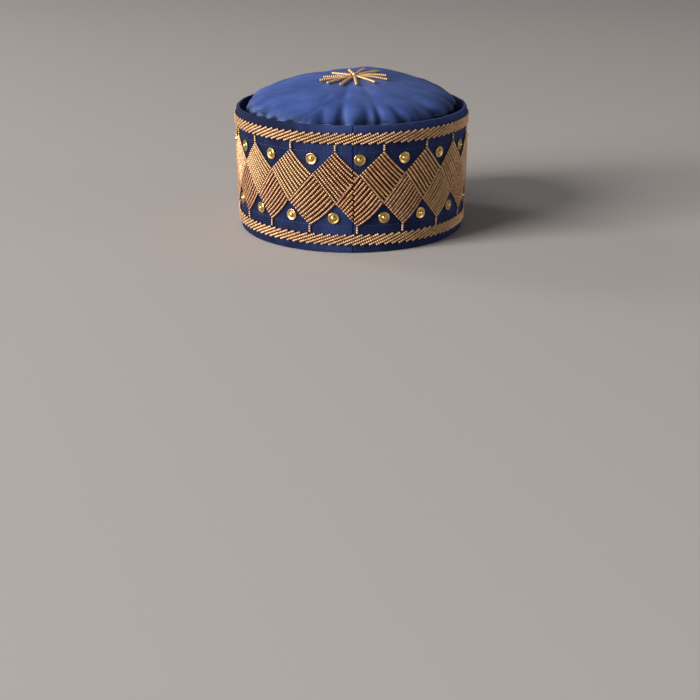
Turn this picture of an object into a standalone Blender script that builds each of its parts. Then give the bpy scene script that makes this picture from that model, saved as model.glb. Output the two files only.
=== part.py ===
"""A beaded cap: an oval cloth band with a gathered crown set inside its rim.

Two braids of slanted bead strings edge a lattice of beadwork diamonds, brass studs sit between the
diamonds, and a beaded star lies on the crown. Metres, +Z up. The origin is the centre of the opening,
on the surface that the cap rests on. The back seam is at -Y, and the wearer faces +Y.
"""

import bisect
import math
from collections import namedtuple

import bmesh
import bpy
from mathutils import Matrix, Vector

# Band: an oval wall, measured outside at its top rim
RIM_HALF_WIDTH = 0.0865
RIM_HALF_DEPTH = 0.1001
BAND_HEIGHT = 0.0906
BAND_WALL = 0.0028
HEM_DRAW_IN = 0.0021  # how much closer to the axis the wall is at the hem than at the rim
HEM_ROUND = 0.0005
RIM_ARC_STEPS = 4

# Back seam: a groove in the wall, and as wide a slot between the two ends of the beaded strip
SEAM_GAP = 0.0008
SEAM_DEPTH = 0.0008
SEAM_RIM_DIP = 0.0004

# Gap kept between pieces that are sewn together
FIT = 0.0003

# Braids: their height, their relief, and how far they are from the hem or the rim
BRAID_HEIGHT = 0.0088
BRAID_EDGE = 0.0009
BRAID_CREST = 0.0018
LOWER_BRAID_ABOVE_HEM = 0.0054
UPPER_BRAID_BELOW_RIM = 0.0045
BRAID_FRONT_STEPS = 4

# Lattice: a tip is a diamond's outer corner, a notch the corner between two diamonds
REPEATS = 17
TIP_GAP_UPPER = 0.0043  # stem length between the upper braid and the upper tips
TIP_GAP_LOWER = 0.0050
TIP_TO_NOTCH_SHARE = 0.305  # of the height between upper and lower tips
LATTICE_EDGE = 0.0012
LATTICE_CREST = 0.0021
STEM_WIDTH = 0.0017
SEAM_AFTER_TIP = 0.80  # in half repeats, where the back seam lies after an upper tip

# The studs are sewn on by hand, so none lies quite at its even place. These are the ways from there along the
# wall, in half steps. The unseen ones fade to none.
StudShift = namedtuple("StudShift", "place along")
STUD_SHIFTS = (
    StudShift(-17, 0),
    StudShift(-6, 0.18),
    StudShift(-5, -0.06),
    StudShift(-4, 0.22),
    StudShift(-3, 0.05),
    StudShift(-2, 0.09),
    StudShift(-1, 0.07),
    StudShift(0, -0.02),
    StudShift(1, 0.06),
    StudShift(2, 0.08),
    StudShift(3, -0.05),
    StudShift(4, -0.17),
    StudShift(5, -0.13),
    StudShift(6, -0.24),
    StudShift(7, -0.24),
    StudShift(8, -0.20),
    StudShift(17, 0),
)

# Studs: a turned brass disc with a boss
STUD_RADIUS = 0.0041
STUD_RIM = 0.0005
STUD_DOME = 0.0012
STUD_BOSS_RADIUS = 0.0016
STUD_BOSS_TOP_RADIUS = 0.0009
STUD_HEIGHT = 0.0021
STUD_SIDES = 10
STUD_FROM_NOTCH = 0.0103  # how far a stud's centre is from the notch that it faces

# Crown: the dome's base is a groove away from the band's inner side and below its rim
CROWN_THICKNESS = 0.0016
CROWN_GROOVE = 0.0045
CROWN_BASE_BELOW_RIM = 0.0048
CROWN_SEAM_BELOW_RIM = 0.0095
CROWN_SKIRT_BELOW_RIM = 0.0150
CROWN_RISE = 0.0239
CROWN_FLATNESS = 1.8
CROWN_SHOULDER = 2.5
CROWN_LEAN_FRONT = 0.27  # share of the rise gained at the front and lost at the back
CROWN_LEAN_SIDE = 0.075
CROWN_COLUMNS = 96
CROWN_ROWS = (1.0, 0.975, 0.89, 0.72, 0.48, 0.22)
PEAK_HEIGHT = 0.0020
PEAK_RIGHT = 0.013  # where the crown's one soft peak lies from its centre
PEAK_FRONT = 0.040
PEAK_SPREAD_SIDE = 0.013
PEAK_SPREAD_FRONT = 0.030

# Gathers, from the back seam towards +X: angle and width in degrees, depth as a share of the deepest
# one's, reach as a share of the way from the crown's base to its centre
GATHER_DEPTH = 0.0040
GATHER_SINK = 2.0  # how soon a gather turns from drawing the cloth inward to drawing it down
Gather = namedtuple("Gather", "angle depth width reach")
GATHERS = (
    Gather(-72, 0.45, 3.5, 0.14),
    Gather(-55, 0.80, 4.0, 0.16),
    Gather(-45, 0.60, 4.0, 0.18),
    Gather(-33, 0.70, 5.0, 0.30),
    Gather(-17, 0.35, 5.0, 0.28),
    Gather(-6.7, 1.00, 4.2, 0.34),
    Gather(5.7, 0.95, 4.0, 0.26),
    Gather(13, 0.75, 3.6, 0.28),
    Gather(26, 0.40, 4.5, 0.22),
    Gather(48, 0.45, 5.0, 0.24),
    Gather(63, 0.40, 4.5, 0.20),
    Gather(81, 0.60, 5.0, 0.22),
    Gather(97, 0.45, 4.2, 0.26),
    Gather(112, 0.80, 4.5, 0.24),
    Gather(129, 0.50, 5.0, 0.30),
    Gather(146, 0.70, 4.2, 0.22),
    Gather(161, 0.45, 4.6, 0.28),
    Gather(177, 0.85, 4.4, 0.26),
    Gather(194, 0.50, 4.8, 0.22),
    Gather(210, 0.75, 4.2, 0.30),
    Gather(228, 0.45, 5.0, 0.24),
    Gather(244, 0.65, 4.4, 0.20),
    Gather(262, 0.50, 4.6, 0.26),
    Gather(274, 0.40, 4.0, 0.18),
)

# Star: bead strings laid on the crown, by the angle from +X and the share of the full length
STAR_LENGTH = 0.0270
STAR_STRING = 0.0019
STAR_HUB = 0.0036  # radius where the strings part from each other
STAR_BEAD_HEIGHT = 0.0029
STAR_RIGHT = 0.0022  # where the star lies from the crown's centre
STAR_BACK = 0.0028
STAR_STEPS = 4
Ray = namedtuple("Ray", "angle length")
RAYS = (
    Ray(4.5, 0.89),
    Ray(35, 0.86),
    Ray(70, 0.84),
    Ray(99, 0.81),
    Ray(138, 0.82),
    Ray(175, 0.86),
    Ray(196, 1.00),
    Ray(221, 1.00),
    Ray(247, 1.00),
    Ray(273, 0.94),
    Ray(308, 0.92),
    Ray(339, 0.97),
)

# Worked out from the sizes above
HALF_STEPS = 2 * REPEATS
LOWER_BRAID = (LOWER_BRAID_ABOVE_HEM, LOWER_BRAID_ABOVE_HEM + BRAID_HEIGHT)
UPPER_BRAID = (BAND_HEIGHT - UPPER_BRAID_BELOW_RIM - BRAID_HEIGHT, BAND_HEIGHT - UPPER_BRAID_BELOW_RIM)
UPPER_TIP = UPPER_BRAID[0] - TIP_GAP_UPPER
LOWER_TIP = LOWER_BRAID[1] + TIP_GAP_LOWER
UPPER_NOTCH = UPPER_TIP - TIP_TO_NOTCH_SHARE * (UPPER_TIP - LOWER_TIP)
LOWER_NOTCH = LOWER_TIP + TIP_TO_NOTCH_SHARE * (UPPER_TIP - LOWER_TIP)
CROWN_BASE = BAND_HEIGHT - CROWN_BASE_BELOW_RIM
CROWN_HALF_WIDTH = RIM_HALF_WIDTH - BAND_WALL - CROWN_GROOVE
CROWN_HALF_DEPTH = RIM_HALF_DEPTH - BAND_WALL - CROWN_GROOVE

# Colours, linear, with roughness and metallic
Finish = namedtuple("Finish", "colour roughness metallic")
BAND_CLOTH = Finish((0.020, 0.036, 0.130), 0.85, 0.0)
CROWN_CLOTH = Finish((0.055, 0.095, 0.330), 0.70, 0.0)
BEADS = Finish((0.560, 0.300, 0.130), 0.35, 0.8)
BRASS = Finish((0.640, 0.450, 0.130), 0.25, 1.0)


def clear_scene():
    for old in list(bpy.data.objects):
        bpy.data.objects.remove(old)


def arc_table(steps=1440):
    """Angles round the rim's oval from the back, and the length of arc up to each."""
    angles = [2 * math.pi * i / steps for i in range(steps + 1)]
    lengths = [0.0]
    for a, b in zip(angles, angles[1:]):
        lengths.append(lengths[-1] + (rim_point(b) - rim_point(a)).length)
    return angles, lengths


def rim_point(angle):
    return Vector((RIM_HALF_WIDTH * math.sin(angle), -RIM_HALF_DEPTH * math.cos(angle), 0))


ANGLES, LENGTHS = arc_table()
PERIMETER = LENGTHS[-1]


def angle_at(share):
    """The angle at a share of the way round the oval, measured from the back seam towards +X."""
    turns = math.floor(share)
    wanted = (share - turns) * PERIMETER
    i = min(max(bisect.bisect_right(LENGTHS, wanted) - 1, 0), len(LENGTHS) - 2)
    part = (wanted - LENGTHS[i]) / (LENGTHS[i + 1] - LENGTHS[i])
    return ANGLES[i] + part * (ANGLES[i + 1] - ANGLES[i]) + 2 * math.pi * turns


def wall_point(share, height, out):
    """A point that far outside the band's outer side, at a height and a share of the way round."""
    angle = angle_at(share)
    grown = out - HEM_DRAW_IN * (1 - height / BAND_HEIGHT)
    x = (RIM_HALF_WIDTH + grown) * math.sin(angle)
    y = -(RIM_HALF_DEPTH + grown) * math.cos(angle)
    return Vector((x, y, height))


def share_of(half_step):
    """Where a place on the lattice lies round the band. Even numbers are upper tips."""
    return (half_step - SEAM_AFTER_TIP) / HALF_STEPS


def stud_place(half_step):
    """Where a stud was sewn on, in half steps."""
    place = (half_step + REPEATS) % HALF_STEPS - REPEATS
    for here, there in zip(STUD_SHIFTS, STUD_SHIFTS[1:]):
        if place <= there.place:
            part = (place - here.place) / (there.place - here.place)
            return half_step + here.along * (1 - part) + there.along * part


def strip_shares(places):
    """Shares from one side of the back seam round to the other, with these places between them."""
    half_gap = SEAM_GAP / 2 / PERIMETER
    inner = sorted(share_of(place) % 1 for place in places)
    return [half_gap, *[share for share in inner if 2 * half_gap < share < 1 - 2 * half_gap], 1 - half_gap]


def material(name, finish):
    made = bpy.data.materials.new(name)
    made.use_nodes = True
    shader = made.node_tree.nodes["Principled BSDF"]
    shader.inputs["Base Color"].default_value = (*finish.colour, 1)
    shader.inputs["Roughness"].default_value = finish.roughness
    shader.inputs["Metallic"].default_value = finish.metallic
    made.diffuse_color = (*finish.colour, 1)
    return made


def add_object(name, mesh, finish, smooth_angle=40):
    obj = bpy.data.objects.new(name, mesh)
    bpy.context.scene.collection.objects.link(obj)
    if not mesh.materials:
        mesh.materials.append(material(name, finish))
    mesh.shade_smooth()
    mesh.set_sharp_from_angle(angle=math.radians(smooth_angle))
    return obj


def mesh_from(bm, name):
    bmesh.ops.recalc_face_normals(bm, faces=bm.faces[:])
    mesh = bpy.data.meshes.new(name)
    bm.to_mesh(mesh)
    bm.free()
    return mesh


def loft(sections, ring):
    """A closed body through loops of points. A ring joins its last section to its first."""
    bm = bmesh.new()
    loops = [[bm.verts.new(point) for point in section] for section in sections]
    pairs = list(zip(loops, loops[1:] + loops[:1] if ring else loops[1:]))
    for here, there in pairs:
        for i in range(len(here)):
            j = (i + 1) % len(here)
            bm.faces.new((here[i], here[j], there[j], there[i]))
    if not ring:
        bm.faces.new(loops[0])
        bm.faces.new(reversed(loops[-1]))
    return bm


def band_profile():
    """Points of the wall's section as (inset from its outer side, height), hem first, outside up."""
    rim_radius = BAND_WALL / 2
    points = [(HEM_ROUND, 0), (0, HEM_ROUND)]
    for i in range(RIM_ARC_STEPS + 1):
        turn = math.pi * i / RIM_ARC_STEPS
        inset = rim_radius * (1 - math.cos(turn))
        points.append((inset, BAND_HEIGHT - rim_radius + rim_radius * math.sin(turn)))
    points += [(BAND_WALL, HEM_ROUND), (BAND_WALL - HEM_ROUND, 0)]
    return points


def band():
    """The upright wall, with the back seam as a narrow groove down its outer side and over its rim."""
    lip = SEAM_GAP / PERIMETER
    plain = [share_of(i / 2) % 1 for i in range(2 * HALF_STEPS)]
    shares = [share for share in plain if lip < share < 1 - lip]
    groove = [0, lip / 2, 1 - lip / 2]
    sections = []
    for share in sorted([*shares, *groove, lip, 1 - lip]):
        sunk = share in groove
        section = []
        for inset, height in band_profile():
            on_rim = height > BAND_HEIGHT - BAND_WALL
            dip = SEAM_RIM_DIP if sunk and on_rim else 0
            depth = SEAM_DEPTH * (1 - inset / BAND_WALL) if sunk else 0
            section.append(wall_point(share, height - dip, -inset - depth))
        sections.append(section)
    add_object("band", mesh_from(loft(sections, ring=True), "band"), BAND_CLOTH)


def braid(name, low, high):
    """One edging strip with a rounded front, open at the back seam."""
    sections = []
    for share in strip_shares(i / 2 for i in range(2 * HALF_STEPS)):
        section = [wall_point(share, low, FIT)]
        for i in range(BRAID_FRONT_STEPS + 1):
            rise = i / BRAID_FRONT_STEPS
            relief = BRAID_EDGE + (BRAID_CREST - BRAID_EDGE) * math.sin(math.pi * rise)
            section.append(wall_point(share, low + rise * (high - low), FIT + relief))
        section.append(wall_point(share, high, FIT))
        sections.append(section)
    add_object(name, mesh_from(loft(sections, ring=False), name), BEADS)


def lattice_section(share):
    """The strip of diamonds cut upright: an upper and a lower diamond, each raised along its middle."""
    half_step = share * HALF_STEPS + SEAM_AFTER_TIP
    odd = abs((half_step + 1) % 2 - 1)  # 0 at an even place, 1 at an odd one
    top = UPPER_TIP + (UPPER_NOTCH - UPPER_TIP) * odd
    bottom = LOWER_NOTCH + (LOWER_TIP - LOWER_NOTCH) * odd
    shared = LOWER_NOTCH + (UPPER_NOTCH - LOWER_NOTCH) * odd
    edge_out = FIT + LATTICE_EDGE
    upper_out = edge_out + (LATTICE_CREST - LATTICE_EDGE) * (1 - odd)
    lower_out = edge_out + (LATTICE_CREST - LATTICE_EDGE) * odd
    return [
        wall_point(share, bottom, FIT),
        wall_point(share, bottom, edge_out),
        wall_point(share, (bottom + shared) / 2, lower_out),
        wall_point(share, shared, edge_out),
        wall_point(share, (shared + top) / 2, upper_out),
        wall_point(share, top, edge_out),
        wall_point(share, top, FIT),
    ]


def raise_stem(bm, share, start, end):
    """Draws the edge face at a tip out into the stem that reaches the braid."""
    at = wall_point(share, start, FIT + LATTICE_EDGE / 2)
    up = 1 if end > start else -1
    facing = [face for face in bm.faces if face.normal.z * up > 0.5]
    face = min(facing, key=lambda f: (f.calc_center_median() - at).length)
    made = bmesh.ops.extrude_discrete_faces(bm, faces=[face])["faces"][0]
    for vert in made.verts:
        vert.co.z = end


def bead_lattice():
    """The two rows of diamonds as one strip, with a stem from every tip to the braid that it faces."""
    half_stem = STEM_WIDTH / 2 / PERIMETER * HALF_STEPS
    places = []
    for i in range(HALF_STEPS):
        places += [i - half_stem, i + half_stem, i + 0.5]
    bm = loft([lattice_section(share) for share in strip_shares(places)], ring=False)
    bmesh.ops.recalc_face_normals(bm, faces=bm.faces[:])
    for i in range(HALF_STEPS):
        if i % 2 == 0:
            raise_stem(bm, share_of(i), UPPER_TIP, UPPER_BRAID[0] - FIT)
        else:
            raise_stem(bm, share_of(i), LOWER_TIP, LOWER_BRAID[1] + FIT)
    add_object("bead_lattice", mesh_from(bm, "bead_lattice"), BEADS, smooth_angle=20)


def stud_mesh():
    """A disc with a raised boss, turned about +Z, its flat back at z = 0."""
    profile = (
        (STUD_RADIUS, 0),
        (STUD_RADIUS, STUD_RIM),
        (STUD_BOSS_RADIUS, STUD_DOME),
        (STUD_BOSS_TOP_RADIUS, STUD_HEIGHT),
    )
    bm = bmesh.new()
    rings = []
    for radius, height in profile:
        turns = [2 * math.pi * i / STUD_SIDES for i in range(STUD_SIDES)]
        rings.append([bm.verts.new((radius * math.cos(t), radius * math.sin(t), height)) for t in turns])
    for lower, upper in zip(rings, rings[1:]):
        for i in range(STUD_SIDES):
            j = (i + 1) % STUD_SIDES
            bm.faces.new((lower[i], lower[j], upper[j], upper[i]))
    bm.faces.new(rings[0])
    bm.faces.new(rings[-1])
    return mesh_from(bm, "stud")


def outward_frame(share, height, out):
    """A placement on the band whose +Z points straight out of the wall."""
    at = wall_point(share, height, out)
    step = 0.001
    along = wall_point(share + step, height, out) - wall_point(share - step, height, out)
    up_wall = wall_point(share, height + step, out) - at
    normal = along.cross(up_wall).normalized()
    side = along.normalized()
    turn = Matrix((side, normal.cross(side), normal)).transposed().to_4x4()
    return Matrix.Translation(at) @ turn


def studs():
    """One stud in each blue triangle: the upper row below the upper braid, the lower row above the hem's."""
    mesh = stud_mesh()
    for i in range(REPEATS):
        upper = add_object(f"stud_upper_{i + 1:02d}", mesh, BRASS)
        upper_share = share_of(stud_place(2 * i + 1))
        upper.matrix_world = outward_frame(upper_share, UPPER_NOTCH + STUD_FROM_NOTCH, FIT)
        lower = add_object(f"stud_lower_{i + 1:02d}", mesh, BRASS)
        lower_share = share_of(stud_place(2 * i))
        lower.matrix_world = outward_frame(lower_share, LOWER_NOTCH - STUD_FROM_NOTCH, FIT)


def dome_point(reach, angle):
    """A point of the crown without its gathers. Reach is 1 at the base and 0 at the centre."""
    x = CROWN_HALF_WIDTH * reach * math.sin(angle)
    y = -CROWN_HALF_DEPTH * reach * math.cos(angle)
    profile = max(1 - reach**CROWN_FLATNESS, 0) ** (1 / CROWN_SHOULDER)
    lean = 1 + CROWN_LEAN_FRONT * y / CROWN_HALF_DEPTH + CROWN_LEAN_SIDE * x / CROWN_HALF_WIDTH
    off = ((x - PEAK_RIGHT) / PEAK_SPREAD_SIDE) ** 2 + ((y - PEAK_FRONT) / PEAK_SPREAD_FRONT) ** 2
    return Vector((x, y, CROWN_BASE + CROWN_RISE * profile * lean + PEAK_HEIGHT * math.exp(-off / 2)))


def gather_depth(reach, angle):
    """How far the gathers draw the cloth in, at a place on the dome."""
    depth = 0
    for gather in GATHERS:
        off = (math.degrees(angle) - gather.angle + 180) % 360 - 180
        across = math.exp(-((off / gather.width) ** 2))
        along = max(0, 1 - (1 - reach) / gather.reach)
        depth += gather.depth * across * along
    return GATHER_DEPTH * depth


def crown_section(angle):
    """The crown from its sewn edge up over the dome, without its centre."""
    wall_x = RIM_HALF_WIDTH - BAND_WALL - HEM_DRAW_IN * CROWN_SKIRT_BELOW_RIM / BAND_HEIGHT - FIT
    wall_y = wall_x + RIM_HALF_DEPTH - RIM_HALF_WIDTH
    points = []
    for below in (CROWN_SKIRT_BELOW_RIM, CROWN_SEAM_BELOW_RIM):
        points.append(Vector((wall_x * math.sin(angle), -wall_y * math.cos(angle), BAND_HEIGHT - below)))
    for reach in CROWN_ROWS:
        point = dome_point(reach, angle)
        inward = Vector((-math.sin(angle), math.cos(angle), -(1 - reach) * GATHER_SINK)).normalized()
        points.append(point + inward * gather_depth(reach, angle))
    return points


def crown():
    """The gathered cloth top: an open surface given the cloth's thickness on its inner side."""
    bm = bmesh.new()
    turns = [2 * math.pi * i / CROWN_COLUMNS for i in range(CROWN_COLUMNS)]
    columns = [[bm.verts.new(point) for point in crown_section(turn)] for turn in turns]
    centre = bm.verts.new(dome_point(0, 0))
    for here, there in zip(columns, columns[1:] + columns[:1]):
        for i in range(len(here) - 1):
            bm.faces.new((here[i], there[i], there[i + 1], here[i + 1]))
        bm.faces.new((here[-1], there[-1], centre))
    mesh = mesh_from(bm, "crown")
    obj = add_object("crown", mesh, CROWN_CLOTH, smooth_angle=60)
    shell = obj.modifiers.new("cloth_thickness", "SOLIDIFY")
    shell.thickness = CROWN_THICKNESS
    shell.offset = -1


def over_crown(distance, angle, lift):
    """A point that far above the crown, at a distance and an angle from the star's centre."""
    x = STAR_RIGHT + distance * math.cos(angle)
    y = distance * math.sin(angle) - STAR_BACK
    reach = math.hypot(x / CROWN_HALF_WIDTH, y / CROWN_HALF_DEPTH)
    turn = math.atan2(x / CROWN_HALF_WIDTH, -y / CROWN_HALF_DEPTH)
    return dome_point(reach, turn) + Vector((0, 0, lift))


def ray_ring(ray, distance):
    """Four points round a string of the star, the lower two first, at a distance from the centre."""
    angle = math.radians(ray.angle)
    across = Vector((-math.sin(angle), math.cos(angle), 0)) * STAR_STRING / 2
    low = over_crown(distance, angle, FIT)
    high = low + Vector((0, 0, STAR_STRING))
    return [low - across, low + across, high + across, high - across]


def crown_star():
    """The star as one body: a hub with a face for every string, and a bead on its middle."""
    bm = bmesh.new()
    turns = [math.radians(ray.angle) for ray in RAYS]
    nexts = turns[1:] + [turns[0] + 2 * math.pi]
    corners = [(here + there) / 2 for here, there in zip(turns, nexts)]
    low = [bm.verts.new(over_crown(STAR_HUB, corner, FIT)) for corner in corners]
    high = [bm.verts.new(over_crown(STAR_HUB, corner, FIT + STAR_STRING)) for corner in corners]
    top = bm.verts.new(over_crown(0, 0, FIT + STAR_BEAD_HEIGHT))
    bottom = bm.verts.new(over_crown(0, 0, FIT))
    for i, ray in enumerate(RAYS):
        before = i - 1
        bm.faces.new((high[before], high[i], top))
        bm.faces.new((low[i], low[before], bottom))
        ring = [low[before], low[i], high[i], high[before]]
        for step in range(1, STAR_STEPS + 1):
            part = step / STAR_STEPS
            distance = STAR_HUB + part * (ray.length * STAR_LENGTH - STAR_HUB)
            following = [bm.verts.new(point) for point in ray_ring(ray, distance)]
            for j in range(4):
                k = (j + 1) % 4
                bm.faces.new((ring[j], ring[k], following[k], following[j]))
            ring = following
        bm.faces.new(ring)
    add_object("crown_star", mesh_from(bm, "crown_star"), BEADS)


def main():
    clear_scene()
    band()
    braid("braid_lower", *LOWER_BRAID)
    braid("braid_upper", *UPPER_BRAID)
    bead_lattice()
    studs()
    crown()
    crown_star()


main()
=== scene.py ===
# %% [markdown]
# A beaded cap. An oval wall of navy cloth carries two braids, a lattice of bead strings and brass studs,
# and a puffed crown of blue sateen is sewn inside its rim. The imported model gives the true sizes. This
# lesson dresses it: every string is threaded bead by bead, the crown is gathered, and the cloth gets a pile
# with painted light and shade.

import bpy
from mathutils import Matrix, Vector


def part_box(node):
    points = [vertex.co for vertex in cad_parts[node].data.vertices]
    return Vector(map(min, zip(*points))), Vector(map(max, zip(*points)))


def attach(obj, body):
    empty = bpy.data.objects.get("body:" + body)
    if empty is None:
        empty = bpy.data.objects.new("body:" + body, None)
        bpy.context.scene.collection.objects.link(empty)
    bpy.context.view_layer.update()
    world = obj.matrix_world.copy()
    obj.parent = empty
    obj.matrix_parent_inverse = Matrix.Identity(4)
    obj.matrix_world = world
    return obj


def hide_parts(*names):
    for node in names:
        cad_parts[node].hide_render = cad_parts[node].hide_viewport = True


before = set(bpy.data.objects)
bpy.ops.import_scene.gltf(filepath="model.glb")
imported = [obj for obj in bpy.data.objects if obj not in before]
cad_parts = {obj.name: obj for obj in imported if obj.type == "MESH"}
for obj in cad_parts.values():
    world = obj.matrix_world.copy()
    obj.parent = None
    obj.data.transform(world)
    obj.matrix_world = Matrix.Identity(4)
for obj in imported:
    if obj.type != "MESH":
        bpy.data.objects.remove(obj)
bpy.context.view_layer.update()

# %% [markdown]
# Everything sits on the oval wall, so its sizes come first. They are measured on the model: the rim gives
# the two half axes, and the points near the ground show how far the wall draws in at the hem. Only the
# wall's thickness is typed in.

# %% Measure the wall
import math

import bpy
import numpy as np

MM = 0.001
rim_low, rim_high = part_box("band")
HALF_WIDTH = (rim_high.x - rim_low.x) / 2
HALF_DEPTH = (rim_high.y - rim_low.y) / 2
HEIGHT = rim_high.z
hem_points = [v.co.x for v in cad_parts["band"].data.vertices if v.co.z < 1 * MM]
DRAW_IN = HALF_WIDTH - max(hem_points)
WALL = 2.8 * MM
print(f"rim {2000 * HALF_WIDTH:.1f} x {2000 * HALF_DEPTH:.1f} mm, wall {1000 * HEIGHT:.1f} mm high")

# %% [markdown]
# A place on the wall is a share of the way round, counted from the back seam towards +X, a height, and a
# distance out from the cloth. An oval has no simple formula for equal steps along it, so a table of angles
# and arc lengths is made once, and numpy reads between its rows.

# %% Find places on the wall
TABLE_ROWS = 2881
STEP_ALONG, STEP_UP = 0.0005, 0.5 * MM


def arc_lengths(points):
    """How far along a line each of its points lies."""
    return np.concatenate([[0], np.cumsum(np.linalg.norm(np.diff(points, axis=0), axis=1))])


angles = np.linspace(0, 2 * np.pi, TABLE_ROWS)
arc = arc_lengths(np.stack([HALF_WIDTH * np.sin(angles), -HALF_DEPTH * np.cos(angles)], 1))
GIRTH = arc[-1]


def wall(share, height, out=0.0):
    """Points at a distance out from the wall's outer side, or inside it where the distance is negative."""
    share, height, out = np.broadcast_arrays(share, height, out)
    turn = np.interp((share % 1) * GIRTH, arc, angles)
    grown = out - DRAW_IN * (1 - height / HEIGHT)
    return np.stack([(HALF_WIDTH + grown) * np.sin(turn), -(HALF_DEPTH + grown) * np.cos(turn), height], -1)


def unit(vectors):
    return vectors / np.linalg.norm(vectors, axis=-1, keepdims=True)


def outward(share, height):
    """The direction straight out of the cloth."""
    along = wall(share + STEP_ALONG, height) - wall(share - STEP_ALONG, height)
    up = wall(share, height + STEP_UP) - wall(share, height - STEP_UP)
    return unit(np.cross(along, up))


print(f"girth {1000 * GIRTH:.0f} mm")

# %% [markdown]
# The beadwork repeats seventeen times. Even half steps are the tips of upper diamonds, odd ones the tips of
# lower diamonds. The braids' boxes and the lattice's short stems give the heights of the tips, and the
# notches between diamonds lie nearly a third of the way in. The work is sewn by hand, so the table says how
# far each point strays along the wall, in half steps. The model's studs stray by the same shares, while its
# plain lattice is even.

# %% Lay out the beadwork
REPEATS = 17
HALF_STEPS = 2 * REPEATS
SEAM_AFTER_TIP = 0.80
UPPER_STEM, LOWER_STEM = 4.3 * MM, 5.0 * MM
TIP_TO_NOTCH = 0.305
braid_up = [corner.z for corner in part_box("braid_upper")]
braid_down = [corner.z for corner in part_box("braid_lower")]
upper_tip = braid_up[0] - UPPER_STEM
lower_tip = braid_down[1] + LOWER_STEM
upper_notch = upper_tip - TIP_TO_NOTCH * (upper_tip - lower_tip)
lower_notch = lower_tip + TIP_TO_NOTCH * (upper_tip - lower_tip)


#               place  high   low    stud
HAND_SHIFTS = ((-17, 0, 0, 0),
               (-6, 0.05, 0.07, 0.18),
               (-5, 0.11, 0.12, -0.06),
               (-4, -0.02, 0.08, 0.22),
               (-3, 0.07, -0.02, 0.05),
               (-2, 0.14, -0.04, 0.09),
               (-1, 0.10, -0.05, 0.07),
               (0, 0.07, 0.07, -0.02),
               (1, 0.02, -0.05, 0.06),
               (2, 0.05, 0.02, 0.08),
               (3, -0.02, -0.09, -0.05),
               (4, 0.06, -0.13, -0.17),
               (5, -0.07, -0.22, -0.13),
               (6, -0.10, -0.22, -0.24),
               (7, -0.13, -0.21, -0.24),
               (8, -0.16, -0.18, -0.20),
               (17, 0, 0, 0))
HIGH, LOW, STUD = 1, 2, 3


def share_of(half_step, point):
    """The share of the way round at which a high point, a low point or a stud was sewn."""
    place = (half_step + REPEATS) % HALF_STEPS - REPEATS
    stray = np.interp(place, [row[0] for row in HAND_SHIFTS], [row[point] for row in HAND_SHIFTS])
    return (half_step + stray - SEAM_AFTER_TIP) / HALF_STEPS


print("levels mm:", [round(1000 * z, 1) for z in (lower_tip, lower_notch, upper_notch, upper_tip)])

# %% [markdown]
# The camera stands where the cap is seen from behind and a little above. Its place, its aim and its lens
# were worked out from the outline of the rim and the hem. It is set first, so that every later step can be
# judged from it. Nothing is shifted or blurred.

# %% Set the camera
from mathutils import Matrix, Vector

EYE = Vector((-0.0133, -1.0377, 0.2542))
AIM = Vector((0.0108, 0.9445, -0.3284))
RIGHT = Vector((0.9999, -0.0121, -0.0020))
LENS = 70.6


def add_object(name, data):
    added = bpy.data.objects.new(name, data)
    bpy.context.scene.collection.objects.link(added)
    return added


camera = add_object("camera", bpy.data.cameras.new("camera"))
camera.data.sensor_width = 36
camera.data.lens = LENS
camera.data.clip_start, camera.data.clip_end = 0.01, 50
back = -AIM.normalized()
right = (RIGHT - RIGHT.dot(back) * back).normalized()
turned = Matrix((right, back.cross(right), back)).transposed().to_4x4()
camera.matrix_world = Matrix.Translation(EYE) @ turned
bpy.context.scene.camera = camera
print("camera", round(EYE.length, 3), "m away")

# %% [markdown]
# A surface in Blender is a tree of nodes. Writing it as arithmetic reads better: Number wraps one socket,
# and adding or multiplying two of them adds a Math node. Finish holds the material, and its node method
# adds any other node: settings first, then the values or links of its sockets.

# %% Write shaders as arithmetic
class Number:
    """A value that the shader works out for every point of a surface."""

    def __init__(self, finish, socket):
        self.finish = finish
        self.socket = socket

    def math(self, operation, first, second):
        return self.finish.node("ShaderNodeMath", {"operation": operation}, {0: first, 1: second})

    def __add__(self, other):
        return self.math("ADD", self, other)

    def __sub__(self, other):
        return self.math("SUBTRACT", self, other)

    def __rsub__(self, other):
        return self.math("SUBTRACT", other, self)

    def __mul__(self, other):
        return self.math("MULTIPLY", self, other)

    __radd__ = __add__
    __rmul__ = __mul__


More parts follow.
